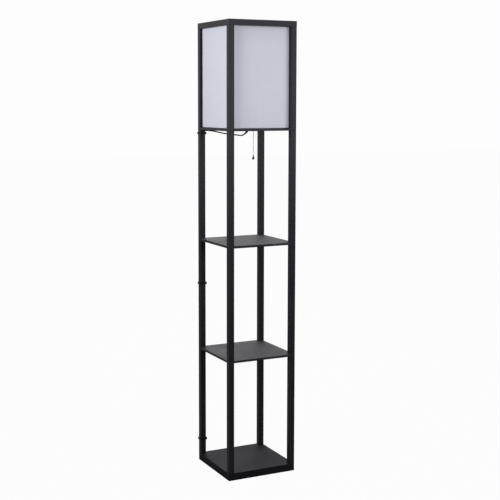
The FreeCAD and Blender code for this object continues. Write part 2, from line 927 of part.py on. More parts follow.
hank_path, hank_radii, hank_y = hank_edges()
hank_start = hank_path[0].Vertexes[0].Point
hank_end = hank_path[-1].Vertexes[-1].Point
relief_tip = Vector(*lead_route[0])
relief_axis = (relief_tip - Vector(*lead_route[1])).normalize()
relief_top_z = deck_top - nipple_below
relief_collar_z = relief_top_z - relief_collar_height
relief_root = relief_tip + relief_axis * ((relief_collar_z - relief_tip.z) / relief_axis.z)
tail_points = [hank_end] + [hank_end + Vector(*step) for step in tail_steps]
plug_axis_z = plug_thickness / 2
plug_y = half_side + plug_back_gap + plug_width / 2
tail_points.append(Vector(hank_end.x + tail_length, plug_y, plug_axis_z))
relief_end_x = hank_end.x + tail_length + plug_lead_run
tail_points.append(Vector(relief_end_x, plug_y, plug_axis_z))


def cord_lead():
    """The lead from its sleeve, behind the post and down to the hank."""
    level = hank_start - Vector(hank_lead_run, 0, 0)
    points = [Vector(*p) for p in lead_route] + [level, hank_start]
    edges, radii = rounded_path(points)
    return tube(edges, "cord_lead", radii)


def cord_hank():
    """The tied spare length."""
    print(f"cord_hank: least gap to itself {self_gap(hank_path):.2f}")
    return tube(hank_path, "cord_hank", hank_radii)


def cord_tail():
    """The last stretch, from the hank to the plug."""
    edges, radii = rounded_path(tail_points)
    return tube(edges, "cord_tail", radii)


def cord_relief():
    """The moulded sleeve: a plug in the stem, a collar under it and a slanting tail."""
    spread = relief_root - relief_tip
    solids = [
        rod(nipple_bore_radius - fit_gap, relief_plug_length, (0, 0, relief_top_z)),
        rod(relief_collar_radius, relief_collar_height, (0, 0, relief_collar_z)),
        Part.makeSphere(relief_ball_radius, Vector(relief_root.x / 2, relief_root.y / 2,
                                                   relief_collar_z + relief_ball_rise)),
        Part.makeCone(relief_tail_radius, relief_ball_radius * relief_root_share, spread.Length,
                      relief_tip, spread),
    ]
    body = join(solids)
    reach = 2 * relief_collar_radius
    above = box((-reach, -reach, relief_top_z), (reach, reach, relief_top_z + reach))
    stem = rod(nipple_bore_radius - fit_gap, relief_plug_length, (0, 0, relief_top_z))
    return join([body.cut(above), stem])


def hank_tie():
    """The band round the hank's waist."""
    near = -(hank_fold_radius + hank_pitch * 1.25) + hank_draw
    far = hank_fold_radius + hank_pitch * 0.75 - hank_draw
    gap = cord_radius + hank_tie_gap
    low_z = hank_lift - hank_tie_gap
    high_z = hank_lift + cord_radius * 2 + hank_layer + hank_tie_gap
    outer = rounded_block(
        (hank_x - hank_tie_width / 2, hank_y + near - gap - hank_tie_wall, low_z - hank_tie_wall),
        (hank_x + hank_tie_width / 2, hank_y + far + gap + hank_tie_wall, high_z + hank_tie_wall),
        cord_radius + hank_tie_wall, "x",
    )
    inner = rounded_block(
        (hank_x - hank_tie_width, hank_y + near - gap, low_z),
        (hank_x + hank_tie_width, hank_y + far + gap, high_z),
        cord_radius, "x",
    )
    return outer.cut(inner)


def plug_body():
    """The moulded plug with its tapered sleeve, lying flat on the floor."""
    x0 = relief_end_x + plug_relief_length
    half = plug_width / 2
    block = box((x0, plug_y - half, 0), (x0 + plug_length, plug_y + half, plug_thickness))
    block = block.makeFillet(plug_edge, block.Edges)
    sleeve = Part.makeCone(plug_relief_radius, plug_thickness / 2 - plug_relief_inset,
                           plug_relief_length + plug_relief_overlap,
                           Vector(relief_end_x, plug_y, plug_axis_z), Vector(1, 0, 0))
    return join([block, sleeve])


def plug_blades():
    """The plug's two flat blades."""
    x0 = relief_end_x + plug_relief_length + plug_length
    solids = []
    for side in (-1, 1):
        y = plug_y + side * blade_spacing / 2
        solids.append(rounded_block(
            (x0, y - blade_thickness / 2, plug_axis_z - blade_width / 2),
            (x0 + blade_length, y + blade_thickness / 2, plug_axis_z + blade_width / 2),
            blade_thickness * 0.4, "z",
        ))
    return Part.makeCompound(solids)


def lead_near(low, high):
    """Points of the lead's centre line between two heights on the post."""
    found = []
    for before, after in zip(lead_route, lead_route[1:]):
        for step in range(tie_search_count + 1):
            point = [p + (q - p) * step / tie_search_count for p, q in zip(before, after)]
            if point[1] > half_side and low <= point[2] <= high:
                found.append(point)
    return found


def taut_outline(points):
    """The corners of the tightest outline round flat points, anticlockwise."""
    points = sorted(set(points))
    outline = []
    for ordered in (points, points[::-1]):
        side = []
        for x, y in ordered:
            while len(side) > 1:
                (x0, y0), (x1, y1) = side[-2:]
                if (x1 - x0) * (y - y0) - (y1 - y0) * (x - x0) > 1e-9:
                    break
                side.pop()
            side.append((x, y))
        outline += side[:-1]
    return outline


def cable_ties():
    """Three ties drawn round the back-left post and the lead, each with its locking head."""
    solids = []
    for z in tie_heights:
        z0, z1 = z - tie_width / 2, z + tie_width / 2
        left, right = -half_side - tie_side_gap, -post_inner + tie_front_gap
        front, back = post_inner - tie_front_gap, half_side + tie_front_gap
        held = [(left, front), (right, front), (left, back), (right, back)]
        reach = cord_radius + tie_lead_gap
        for x, y, _ in lead_near(z0 - cord_radius, z1 + cord_radius):
            for turn in range(8):
                angle = turn * math.pi / 4
                held.append((x + reach * math.cos(angle), y + reach * math.sin(angle)))
        corners_inside = [Vector(x, y, z0) for x, y in taut_outline(held)]
        inside = Part.Face(Part.makePolygon(corners_inside + corners_inside[:1]))
        loop = inside.makeOffset2D(tie_wall).extrude(up * tie_width).cut(
            inside.extrude(up * tie_width)
        )
        head = rounded_block(
            (right + tie_wall / 2, front + tie_wall, z - tie_head_height / 2),
            (right + tie_wall + tie_head_depth, front + tie_wall + tie_head_side,
             z + tie_head_height / 2),
            tie_wall / 2, "z",
        )
        held_post = rounded_block(
            (-half_side, post_inner, z - tie_head_height), (-post_inner, half_side,
                                                            z + tie_head_height), edge_round
        )
        solids.append(join([loop, head.cut(inside.extrude(up * tie_width))]).cut(held_post))
    return Part.makeCompound(solids)


# ---- Make every piece ----
keep("base_slab", base_slab())
tier("lower", base_thickness, lower_shelf_z, True)
tier("middle", lower_shelf_z + board_thickness, upper_shelf_z, True)
tier("upper", upper_shelf_z + board_thickness, deck_z, True)
tier("shade", deck_top, top_rail_z, False)
keep("lower_shelf", board(lower_shelf_z))
keep("upper_shelf", board(upper_shelf_z))
keep("lamp_deck", lamp_deck())
top_rails()
keep("base_bolts", base_bolts())
keep("joining_studs", joining_studs())
keep("stud_inserts", stud_inserts())
keep("frame_dowels", frame_dowels())
keep("shade_wrap", shade_wrap())
keep("shade_bottom_ring", shade_ring(deck_top + ring_wire_radius))
keep("shade_top_ring", shade_ring(shade_high - ring_wire_radius))
keep("socket_bar", socket_bar())
keep("bar_screws", bar_screws())
keep("mounting_nipple", mounting_nipple())
keep("nipple_nuts", nipple_nuts())
keep("holder_cap", holder_cap())
keep("holder_shell", holder_shell())
keep("holder_liner", holder_liner())
keep("holder_core", holder_core())
keep("screw_shell", screw_shell())
keep("centre_contact", centre_contact())
keep("switch_drum", switch_drum())
keep("drum_pin", drum_pin_solid(drum_pin_radius, 0))
keep("chain_guide", chain_guide())
keep("pull_chain_top", beads(top_bead_z, top_bead_count))
keep("pull_chain_middle", beads(middle_top_z, middle_bead_count))
keep("pull_chain_lower", pull_chain_lower())
keep("chain_connector", chain_connector())
keep("pull_knob", pull_knob())
keep("bulb_cap", bulb_cap())
keep("bulb_glass", bulb_glass())
keep("cord_relief", cord_relief())
keep("cord_lead", cord_lead())
keep("cord_hank", cord_hank())
keep("cord_tail", cord_tail())
keep("hank_tie", hank_tie())
keep("plug_body", plug_body())
keep("plug_blades", plug_blades())
keep("cable_ties", cable_ties())

os.makedirs("parts", exist_ok=True)
for node_name, shape in nodes.items():
    if not shape.isValid() or not shape.Solids:
        print("NOT VALID", node_name)
    shape.exportStep(f"parts/{node_name}.step")
print(f"{len(nodes)} nodes; swing pivots at z {swing_side_z:.2f} and {swing_front_z:.2f}, "
      f"drum at z {drum_z:.2f} radius {drum_radius:.3f}, guide mouth {guide_mouth_z:.2f}, "
      f"bulb from {bulb_z:.2f} to {bulb_z + bulb_length:.2f}")
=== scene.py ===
"""Shelf floor lamp: finishes, fabric shade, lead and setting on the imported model."""

import logging
import math
from dataclasses import dataclass
from enum import Enum
from typing import Protocol, Sequence

import bmesh
import bpy
from mathutils import Matrix, Vector


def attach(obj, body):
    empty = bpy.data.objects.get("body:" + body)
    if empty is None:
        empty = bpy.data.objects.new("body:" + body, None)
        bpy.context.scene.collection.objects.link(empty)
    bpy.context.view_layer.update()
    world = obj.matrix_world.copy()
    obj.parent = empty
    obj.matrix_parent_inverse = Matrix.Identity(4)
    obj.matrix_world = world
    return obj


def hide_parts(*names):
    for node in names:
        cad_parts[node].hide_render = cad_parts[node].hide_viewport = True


log = logging.getLogger("shelf_floor_lamp")

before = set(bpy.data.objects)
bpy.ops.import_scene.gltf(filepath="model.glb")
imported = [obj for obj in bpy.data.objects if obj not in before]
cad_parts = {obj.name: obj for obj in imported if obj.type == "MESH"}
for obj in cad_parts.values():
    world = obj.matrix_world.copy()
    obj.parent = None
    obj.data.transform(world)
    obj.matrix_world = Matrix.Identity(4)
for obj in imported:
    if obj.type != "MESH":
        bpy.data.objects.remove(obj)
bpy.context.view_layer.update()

MM = 0.001
WHITE = (1.0, 1.0, 1.0, 1.0)
# Noise levels seldom leave this range, so patterns are spread over it.
NOISE_LOW, NOISE_HIGH = 0.3, 0.7
# Coordinates along a streak are shrunk to this share, which makes it about 17 times as long.
STREAK = 0.06
Point = tuple[float, float, float]


# ---- Colours and node trees -------------------------------------------------------------


def linear(hex_colour: str) -> tuple[float, float, float, float]:
    """Turn an sRGB hex colour into Blender's linear colour.

    Args:
        hex_colour: Six hex digits after a hash sign.

    Returns:
        Linear red, green, blue and an alpha of 1.
    """
    levels = [int(hex_colour[i : i + 2], 16) / 255 for i in (1, 3, 5)]
    red, green, blue = [
        level / 12.92 if level <= 0.04045 else ((level + 0.055) / 1.055) ** 2.4
        for level in levels
    ]
    return red, green, blue, 1.0


def add_node(
    tree: bpy.types.NodeTree,
    kind: str,
    settings: dict[str | int, object],
    links: dict[str | int, bpy.types.NodeSocket] | None = None,
) -> bpy.types.Node:
    """Add a node with its settings and its incoming links.

    Args:
        tree: The tree that gets the node.
        kind: The node's type name.
        settings: Property names, or input names or numbers, with their values.
        links: Input names or numbers, with the sockets that feed them.

    Returns:
        The new node.
    """
    node = tree.nodes.new(kind)
    for key, value in settings.items():
        if isinstance(key, str) and hasattr(node, key):
            setattr(node, key, value)
        else:
            node.inputs[key].default_value = value
    for key, source in (links or {}).items():
        tree.links.new(source, node.inputs[key])
    return node


def calculate(
    tree: bpy.types.NodeTree, operation: str, *terms: float | bpy.types.NodeSocket
) -> bpy.types.NodeSocket:
    """Work out a value with a math node.

    Args:
        tree: The tree that gets the node.
        operation: The node's operation.
        terms: Its inputs in order, each a number or the socket that feeds it.

    Returns:
        The result's socket.
    """
    numbers = {place: term for place, term in enumerate(terms) if isinstance(term, float)}
    sources = {place: term for place, term in enumerate(terms) if place not in numbers}
    node = add_node(tree, "ShaderNodeMath", {"operation": operation, **numbers}, sources)
    return node.outputs["Value"]


@dataclass(frozen=True)
class Canvas:
    """A new material with its tree, its shader and its coordinates."""

    material: bpy.types.Material
    tree: bpy.types.NodeTree
    shader: bpy.types.Node
    coords: bpy.types.Node

    @staticmethod
    def start(name: str, **shader_settings: object) -> "Canvas":
        """Start a material.

        Args:
            name: The finish's common name.
            shader_settings: Socket names with underscores for spaces, and their values.

        Returns:
            The canvas, with the shader already linked to the output.
        """
        material = bpy.data.materials.new(name)
        material.use_nodes = True
        tree = material.node_tree
        tree.nodes.clear()
        values = {key.replace("_", " "): value for key, value in shader_settings.items()}
        shader = add_node(tree, "ShaderNodeBsdfPrincipled", values)
        add_node(tree, "ShaderNodeOutputMaterial", {}, {"Surface": shader.outputs["BSDF"]})
        coords = add_node(tree, "ShaderNodeTexCoord", {})
        return Canvas(material, tree, shader, coords)

    @property
    def place(self) -> bpy.types.NodeSocket:
        """The object's own coordinates."""
        return self.coords.outputs["Object"]

    def stretched(self, scale: Point) -> bpy.types.NodeSocket:
        """Return coordinates multiplied by a scale along each axis."""
        mapping = add_node(
            self.tree, "ShaderNodeMapping", {"Scale": scale}, {"Vector": self.place}
        )
        return mapping.outputs["Vector"]

    def noise(
        self, vector: bpy.types.NodeSocket, scale: float, detail: float = 3.0
    ) -> bpy.types.NodeSocket:
        """Return a noise pattern's level."""
        node = add_node(
            self.tree,
            "ShaderNodeTexNoise",
            {"Scale": scale, "Detail": detail},
            {"Vector": vector},
        )
        return node.outputs["Fac"]

    def spread(self, level: bpy.types.NodeSocket, low: float, high: float) -> bpy.types.NodeSocket:
        """Return a noise level spread from low to high."""
        node = add_node(
            self.tree,
            "ShaderNodeMapRange",
            {"From Min": NOISE_LOW, "From Max": NOISE_HIGH, "To Min": low, "To Max": high},
            {"Value": level},
        )
        return node.outputs["Result"]

    def colour_between(self, level: bpy.types.NodeSocket, first: str, second: str) -> None:
        """Colour the shader from first to second as a noise level rises."""
        mix = add_node(
            self.tree,
            "ShaderNodeMix",
            {"data_type": "RGBA", 6: linear(first), 7: linear(second)},
            {0: self.spread(level, 0.0, 1.0)},
        )
        self.tree.links.new(mix.outputs[2], self.shader.inputs["Base Color"])

    def roughness_between(self, level: bpy.types.NodeSocket, low: float, high: float) -> None:
        """Let roughness follow a pattern's level."""
        self.tree.links.new(self.spread(level, low, high), self.shader.inputs["Roughness"])

    def bump(self, level: bpy.types.NodeSocket, depth: float, strength: float) -> None:
        """Let a pattern's level raise the surface by depth metres."""
        node = add_node(
            self.tree,
            "ShaderNodeBump",
            {"Distance": depth, "Strength": strength},
            {"Height": level},
        )
        self.tree.links.new(node.outputs["Normal"], self.shader.inputs["Normal"])


# ---- Finishes ---------------------------------------------------------------------------


class Finish(Protocol):
    """A surface finish that builds its own material."""

    def build(self) -> bpy.types.Material:
        """Build the finish's material."""


class Run(Enum):
    """The way a pattern's long side runs on a piece."""

    ALONG_X = (STREAK, 1.0, 1.0)
    ALONG_Y = (1.0, STREAK, 1.0)
    ALONG_Z = (1.0, 1.0, STREAK)


@dataclass(frozen=True)
class SatinLacquer:
    """Sprayed black satin lacquer on closed-grain board.

    The eye gets a near black with a cool cast, a soft broad shine that pales on flat tops seen
    at a low angle, and a faint spray ripple with traces of the grain under it.
    """

    name: str
    run: Run
    colour: str = "#17171b"
    pale_colour: str = "#1e1e22"
    roughness: float = 0.42
    gloss: float = 0.17
    # How far the roughness falls and rises with the tone.
    smoother: float = 0.04
    rougher: float = 0.05
    haze: float = 0.0
    shine: str = "#e9e5f4"
    # The size of each pattern, and the grain's share in the relief beside the ripple.
    tone: float = 110.0 * MM
    ripple: float = 3.2 * MM
    grain: float = 1.1 * MM
    grain_share: float = 0.35
    relief: float = 0.05 * MM
    relief_strength: float = 0.25

    def build(self) -> bpy.types.Material:
        """Build the lacquer's material."""
        canvas = Canvas.start(
            self.name,
            IOR=1.5,
            Specular_IOR_Level=self.gloss,
            Sheen_Weight=self.haze,
            Sheen_Roughness=0.4,
            Specular_Tint=linear(self.shine),
        )
        grain = canvas.noise(canvas.stretched(self.run.value), 1 / self.grain, detail=2.0)
        ripple = canvas.noise(canvas.place, 1 / self.ripple, detail=1.0)
        tone = canvas.noise(canvas.place, 1 / self.tone, detail=4.0)
        canvas.colour_between(tone, self.colour, self.pale_colour)
        canvas.roughness_between(
            tone, self.roughness - self.smoother, self.roughness + self.rougher
        )
        height = calculate(canvas.tree, "MULTIPLY_ADD", grain, self.grain_share, ripple)
        canvas.bump(height, self.relief, self.relief_strength)
        return canvas.material


@dataclass(frozen=True)
class WovenLinen:
    """Plain woven fabric of a cotton and linen kind, laminated on a liner.

    The eye gets a matt, pale lavender grey with fine upright and level threads, a few of them
    thicker than the rest. Real threads lie 0.5 mm apart, too fine for the render, so they are
    drawn 1.1 mm apart and the thick ones 3 mm.
    """

    name: str
    colour: str = "#c9cad6"
    shadow_colour: str = "#c2c3cf"
    # How far apart the threads lie, and their share in the relief beside the thick ones.
    thread: float = 1.1 * MM
    thread_share: float = 0.4
    # The thick threads: their size, how far they are drawn out, and the share of each way.
    slub: float = 3.0 * MM
    slub_streak: float = 0.03
    slub_share: float = 0.5
    relief: float = 0.12 * MM
    relief_strength: float = 0.4

    def build(self) -> bpy.types.Material:
        """Build the fabric's material."""
        canvas = Canvas.start(self.name, Roughness=0.86, Sheen_Weight=0.18, Sheen_Roughness=0.6)
        tree = canvas.tree
        split = add_node(tree, "ShaderNodeSeparateXYZ", {}, {"Vector": canvas.place})
        # Each wall is flat to X or Y, so the sum of both runs once round the shade.
        around = calculate(tree, "ADD", split.outputs["X"], split.outputs["Y"])
        threads = []
        for source in (around, split.outputs["Z"]):
            turn = calculate(tree, "MULTIPLY", source, 2 * math.pi / self.thread)
            threads.append(calculate(tree, "SINE", turn))
        weave = calculate(tree, "MULTIPLY", *threads)
        level_run = (self.slub_streak, self.slub_streak, 1.0)
        upright_run = (1.0, 1.0, self.slub_streak)
        level_slubs, upright_slubs = [
            canvas.noise(canvas.stretched(run), 1 / self.slub, detail=2.0)
            for run in (level_run, upright_run)
        ]
        upright = calculate(tree, "MULTIPLY", upright_slubs, self.slub_share)
        slubs = calculate(tree, "MULTIPLY_ADD", level_slubs, self.slub_share, upright)
        canvas.colour_between(slubs, self.shadow_colour, self.colour)
        height = calculate(tree, "MULTIPLY_ADD", weave, self.thread_share, slubs)
        canvas.bump(height, self.relief, self.relief_strength)
        return canvas.material


@dataclass(frozen=True)
class Metal:
    """Turned or drawn metal, plated or bare.

    The eye gets a tinted reflection, softened by fine lines that the tool or die left.
    """

    name: str
    colour: str
    worn_colour: str
    roughness: float
    # What the roughness is multiplied by where it is least and most.
    smoothest: float = 0.8
    roughest: float = 1.25
    tarnish: float = 8.0 * MM
    lines: float = 0.4 * MM
    run: Run = Run.ALONG_Z
    relief: float = 0.01 * MM
    relief_strength: float = 0.3

    def build(self) -> bpy.types.Material:
        """Build the metal's material."""
        canvas = Canvas.start(self.name, Metallic=1.0)
        tarnish = canvas.noise(canvas.place, 1 / self.tarnish, detail=4.0)
        lines = canvas.noise(canvas.stretched(self.run.value), 1 / self.lines, detail=2.0)
        canvas.colour_between(tarnish, self.colour, self.worn_colour)
        canvas.roughness_between(
            lines, self.roughness * self.smoothest, self.roughness * self.roughest
        )
        canvas.bump(lines, self.relief, self.relief_strength)
        return canvas.material


@dataclass(frozen=True)
class Moulded:
    """Moulded or extruded plastic with the fine grit of its tool.

    The eye gets an even colour, a soft highlight and a barely rough skin.
    """

    name: str
    colour: str
    pale_colour: str
    roughness: float
    ior: float = 1.5
    gloss: float = 0.5
    # What the roughness is multiplied by where it is least and most.
    smoothest: float = 0.9
    roughest: float = 1.1
    cloud: float = 25.0 * MM
    grit: float = 0.5 * MM
    relief: float = 0.02 * MM
    relief_strength: float = 0.4

    def build(self) -> bpy.types.Material:
        """Build the plastic's material."""
        canvas = Canvas.start(self.name, IOR=self.ior, Specular_IOR_Level=self.gloss)
        grit = canvas.noise(canvas.place, 1 / self.grit, detail=2.0)
        cloud = canvas.noise(canvas.place, 1 / self.cloud)
        canvas.colour_between(cloud, self.colour, self.pale_colour)
        canvas.roughness_between(
            cloud, self.roughness * self.smoothest, self.roughness * self.roughest
        )
        canvas.bump(grit, self.relief, self.relief_strength)
        return canvas.material


@dataclass(frozen=True)
class Fibre:
    """Timber or card, whose fibres run one way.

    The eye gets warm streaks along the piece and a dry, matt skin.
    """

    name: str
    colour: str
    dark_colour: str
    run: Run
    grain: float = 0.9 * MM
    relief: float = 0.05 * MM
    relief_strength: float = 0.4

    def build(self) -> bpy.types.Material:
        """Build the fibrous material."""
        canvas = Canvas.start(self.name, Roughness=0.7)
        streaks = canvas.noise(canvas.stretched(self.run.value), 1 / self.grain, detail=4.0)
        canvas.colour_between(streaks, self.dark_colour, self.colour)
        canvas.bump(streaks, self.relief, self.relief_strength)
        return canvas.material


@dataclass(frozen=True)
class FrostedGlass:
    """Blown soda-lime glass, acid-frosted inside.

    The eye gets a milky, softly shining ball with no clear view through it.
    """

    name: str
    colour: str = "#f4f3ee"
    pale_colour: str = "#ffffff"
    smoothest: float = 0.38
    roughest: float = 0.5
    frost: float = 1.5 * MM

    def build(self) -> bpy.types.Material:
        """Build the glass's material."""
        canvas = Canvas.start(self.name, IOR=1.45, Transmission_Weight=0.3)
        frost = canvas.noise(canvas.place, 1 / self.frost)
        canvas.colour_between(frost, self.colour, self.pale_colour)
        canvas.roughness_between(frost, self.smoothest, self.roughest)
        return canvas.material


# ---- Pieces -----------------------------------------------------------------------------


def dress(finish: Finish, *nodes: str) -> None:
    """Give CAD nodes a finish and report them.

    Args:
        finish: The finish.
        nodes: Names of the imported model's nodes.
    """
    material = finish.build()
    for node in nodes:
        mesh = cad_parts[node].data
        mesh.materials.clear()
        mesh.materials.append(material)
    log.info("%s on %d nodes", material.name, len(nodes))


def piece_from(
    mesh: bmesh.types.BMesh, name: str, *materials: bpy.types.Material
) -> bpy.types.Object:
    """Turn a bmesh into a named piece and free the bmesh.

    Args:
        mesh: The finished bmesh, in metres in the row frame.
        name: The piece's name.
        materials: Its material slots.

    Returns:
        The new object, linked to the scene.
    """
    data = bpy.data.meshes.new(name)
    mesh.to_mesh(data)
    mesh.free()
    for material in materials:
        data.materials.append(material)
    piece = bpy.data.objects.new(name, data)
    bpy.context.scene.collection.objects.link(piece)
    return piece


@dataclass(frozen=True)
class Tower:
    """The black frame: base, posts, boards and rails, and what joins them."""

    tiers: tuple[str, ...] = ("lower", "middle", "upper", "shade")
    corners: tuple[str, ...] = ("front_left", "front_right", "back_left", "back_right")

    def dress(self) -> None:
        """Dress the frame's nodes."""
        posts = [f"{tier}_post_{corner}" for tier in self.tiers for corner in self.corners]
        dress(SatinLacquer("satin_lacquer_upright", Run.ALONG_Z), *posts)
        # The shelves' copy of the lacquer shines more and has a sheen, and the base's copy shines
        # less: a lit copy that pales the shelf tops and a shaded copy that darkens the base, as
        # painted light and shade.
        dress(
            SatinLacquer("satin_lacquer_board_lit_copy", Run.ALONG_X, roughness=0.66, gloss=0.21, haze=0.02),
            "lower_shelf",
            "upper_shelf",
        )
        dress(
            SatinLacquer("satin_lacquer_base_shaded_copy", Run.ALONG_X, roughness=0.65, gloss=0.06),
            "base_slab",
        )
        dress(
            SatinLacquer("satin_lacquer_long_rail", Run.ALONG_X),
            "top_rail_front",
            "top_rail_back",
            "lamp_deck",
        )
        dress(
            SatinLacquer("satin_lacquer_side_rail", Run.ALONG_Y),
            "top_rail_left",
            "top_rail_right",
        )
        dress(
            Metal("zinc_plated_steel", "#b9bcc0", "#a5a8ac", 0.34),
            "base_bolts",
            "joining_studs",
            "stud_inserts",
        )
        dress(Fibre("beech_dowel", "#cfa878", "#b98f5f", Run.ALONG_Z), "frame_dowels")


@dataclass(frozen=True)
class Shade:
    """The square fabric shade: its wall, its rolled hems, its back seam and its rings."""

    # The wall: its outer faces from the middle, its edges, its thickness and its corners.
    half_x: float = 121.0 * MM
    half_y: float = 109.7 * MM
    low: float = 1232.5 * MM
    high: float = 1579.6 * MM
    wall: float = 0.9 * MM
    corner: float = 3.0 * MM
    corner_steps: int = 5
    level_cuts: int = 11
    # The wire rings that the hems roll over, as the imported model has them.
    ring_inset: float = 2.65 * MM
    ring_corner: float = 4.5 * MM
    top_ring_drop: float = 1.5 * MM
    bottom_ring_z: float = 1232.0 * MM
    # The hems: their angles round the rings in degrees, then the strip glued to the wall.
    roll_radius: float = 1.72 * MM
    top_roll: tuple[float, ...] = (20.0, 50.0, 80.0, 110.0, 140.0, 170.0, 200.0, 230.0)
    bottom_roll: tuple[float, ...] = (170.0, 200.0, 230.0, 255.0)
    hem_thickness: float = 0.3 * MM
    hem_gap: float = 0.35 * MM
    hem_drop: float = 9.0 * MM
    hem_stops: tuple[float, ...] = (0.42, 1.0)
    # The lapped seam on the back wall.
    seam_centre: float = 84.0 * MM
    seam_width: float = 11.0 * MM
    seam_depth: float = 0.35 * MM
    seam_sunk: float = 0.05 * MM
    seam_short: float = 1.0 * MM
    seam_bevel: float = 0.2 * MM

    def _square(
        self, mesh: bmesh.types.BMesh, inset: float, corner: float, height: float
    ) -> None:
        """Add a level ring of vertices with rounded corners.

        Args:
            mesh: The bmesh that gets the ring.
            inset: How far the ring lies inside the shade's outer face.
            corner: Its corner radius.
            height: Its height.
        """
        sheet = bmesh.ops.create_grid(mesh, x_segments=1, y_segments=1, size=1.0)["verts"]
        size = (self.half_x - inset, self.half_y - inset, 1.0)
        bmesh.ops.scale(mesh, vec=size, verts=sheet)
        bmesh.ops.translate(mesh, vec=(0.0, 0.0, height), verts=sheet)
        bmesh.ops.bevel(
            mesh,
            geom=sheet,
            offset=corner,
            segments=self.corner_steps,
            profile=0.5,
            affect="VERTICES",
            material=-1,
        )
        bmesh.ops.delete(mesh, geom=mesh.faces[:], context="FACES_ONLY")

    def _raise(
        self, mesh: bmesh.types.BMesh, edges: list[bmesh.types.BMEdge]
    ) -> tuple[list[bmesh.types.BMVert], list[bmesh.types.BMEdge]]:
        """Extrude edges and return the new vertices and edges."""
        made = bmesh.ops.extrude_edge_only(mesh, edges=edges)["geom"]
        new_verts = [item for item in made if isinstance(item, bmesh.types.BMVert)]
        new_edges = [item for item in made if isinstance(item, bmesh.types.BMEdge)]
        return new_verts, new_edges

    def _wall(self, fabric: bpy.types.Material, liner: bpy.types.Material) -> bpy.types.Object:
        """Build the wall: one tube of fabric, with the liner as its inner face."""
        mesh = bmesh.new()
        self._square(mesh, 0.0, self.corner, self.low)
        top, _ = self._raise(mesh, mesh.edges[:])
        bmesh.ops.translate(mesh, vec=(0.0, 0.0, self.high - self.low), verts=top)
        uprights = [edge for edge in mesh.edges if edge.verts[0].co.z != edge.verts[1].co.z]
        bmesh.ops.subdivide_edges(
            mesh, edges=uprights, cuts=self.level_cuts, use_grid_fill=True
        )
        bmesh.ops.recalc_face_normals(mesh, faces=mesh.faces[:])
        wall = piece_from(mesh, "shade_fabric_wall", fabric, liner)
        solid = wall.modifiers.new("fabric_and_liner", "SOLIDIFY")
        solid.thickness = self.wall
        solid.offset = -1.0
        solid.material_offset = 1
        solid.material_offset_rim = 0
        return wall

    def _hem(
        self, name: str, ring_z: float, way: int, steps: Sequence[float], fabric: bpy.types.Material
    ) -> bpy.types.Object:
        """Build a hem that rolls over a ring and is glued down inside the wall.

        Args:
            name: The piece's name.
            ring_z: The height of the ring's centre.
            way: 1 where the hem turns down from the top edge, -1 where it turns up.
            steps: Angles round the ring in degrees, from the wall inwards over it.
            fabric: The fabric.

        Returns:
            The hem.
        """
        section = [
            (
                self.ring_inset - self.roll_radius * math.cos(math.radians(step)),
                way * self.roll_radius * math.sin(math.radians(step)),
            )
            for step in steps
        ]
        glued = self.wall + self.hem_gap
        section += [(glued, -way * self.hem_drop * share) for share in self.hem_stops]
        reach = self.ring_inset + self.ring_corner
        mesh = bmesh.new()
        self._square(mesh, section[0][0], reach - section[0][0], ring_z + section[0][1])
        edges = mesh.edges[:]
        for inset, rise in section[1:]:
            verts, edges = self._raise(mesh, edges)
            for vert in verts:
                middle = Vector(
                    (
                        math.copysign(self.half_x - reach, vert.co.x),
                        math.copysign(self.half_y - reach, vert.co.y),
                        ring_z + rise,
                    )
                )
                outward = (vert.co - middle).xy.normalized() * (reach - inset)
                vert.co = middle + Vector((outward.x, outward.y, 0.0))
        bmesh.ops.recalc_face_normals(mesh, faces=mesh.faces[:])
        for face in mesh.faces:
            face.smooth = True
        hem = piece_from(mesh, name, fabric)
        solid = hem.modifiers.new("fabric_thickness", "SOLIDIFY")
        solid.thickness = self.hem_thickness
        solid.offset = 0.0
        return hem

    def _seam(self, fabric: bpy.types.Material) -> bpy.types.Object:
        """Build the lapped seam: a raised strip down the back wall."""
        mesh = bmesh.new()
        strip = bmesh.ops.create_cube(mesh, size=1.0)["verts"]
        height = self.high - self.low - self.seam_short
        bmesh.ops.scale(mesh, vec=(self.seam_width, self.seam_depth, height), verts=strip)
        middle = Vector(
            (
                self.seam_centre,
                self.half_y + self.seam_depth / 2 - self.seam_sunk,
                (self.low + self.high) / 2,
            )
        )
        bmesh.ops.translate(mesh, vec=middle, verts=strip)
        outer = [
            edge for edge in mesh.edges if all(vert.co.y > middle.y for vert in edge.verts)
        ]
        bmesh.ops.bevel(
            mesh,
            geom=outer,
            offset=self.seam_bevel,
            segments=2,
            profile=0.5,
            affect="EDGES",
            material=-1,
        )
        return piece_from(mesh, "shade_back_seam", fabric)

    def build(self) -> None:
        """Build the shade and let it stand for its plain solid."""
        fabric = WovenLinen("woven_linen_blend").build()
        liner = Moulded("styrene_liner", "#dedde2", "#e6e5ea", 0.6, grit=1.5 * MM).build()
        wall = self._wall(fabric, liner)
        top_ring_z = self.high - self.top_ring_drop
        hems = [
            self._hem("shade_top_hem", top_ring_z, 1, self.top_roll, fabric),
            self._hem("shade_bottom_hem", self.bottom_ring_z, -1, self.bottom_roll, fabric),
        ]
        seam = self._seam(fabric)
        pieces = (wall, seam, *hems)
        for piece in pieces:
            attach(piece, "frame")
        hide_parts("shade_wrap")
        # A rounded corner is a quarter circle in place of two radii.
        # The wire is a dark grey for a metal: partly the galvanised steel's own colour, partly
        # painted shade, so that the ring seen under the wall's lower edge reads dark.
        dress(
            Metal("galvanised_wire_darkened_as_shade", "#8d9093", "#7d8083", 0.5),
            "shade_top_ring",
            "shade_bottom_ring",
        )


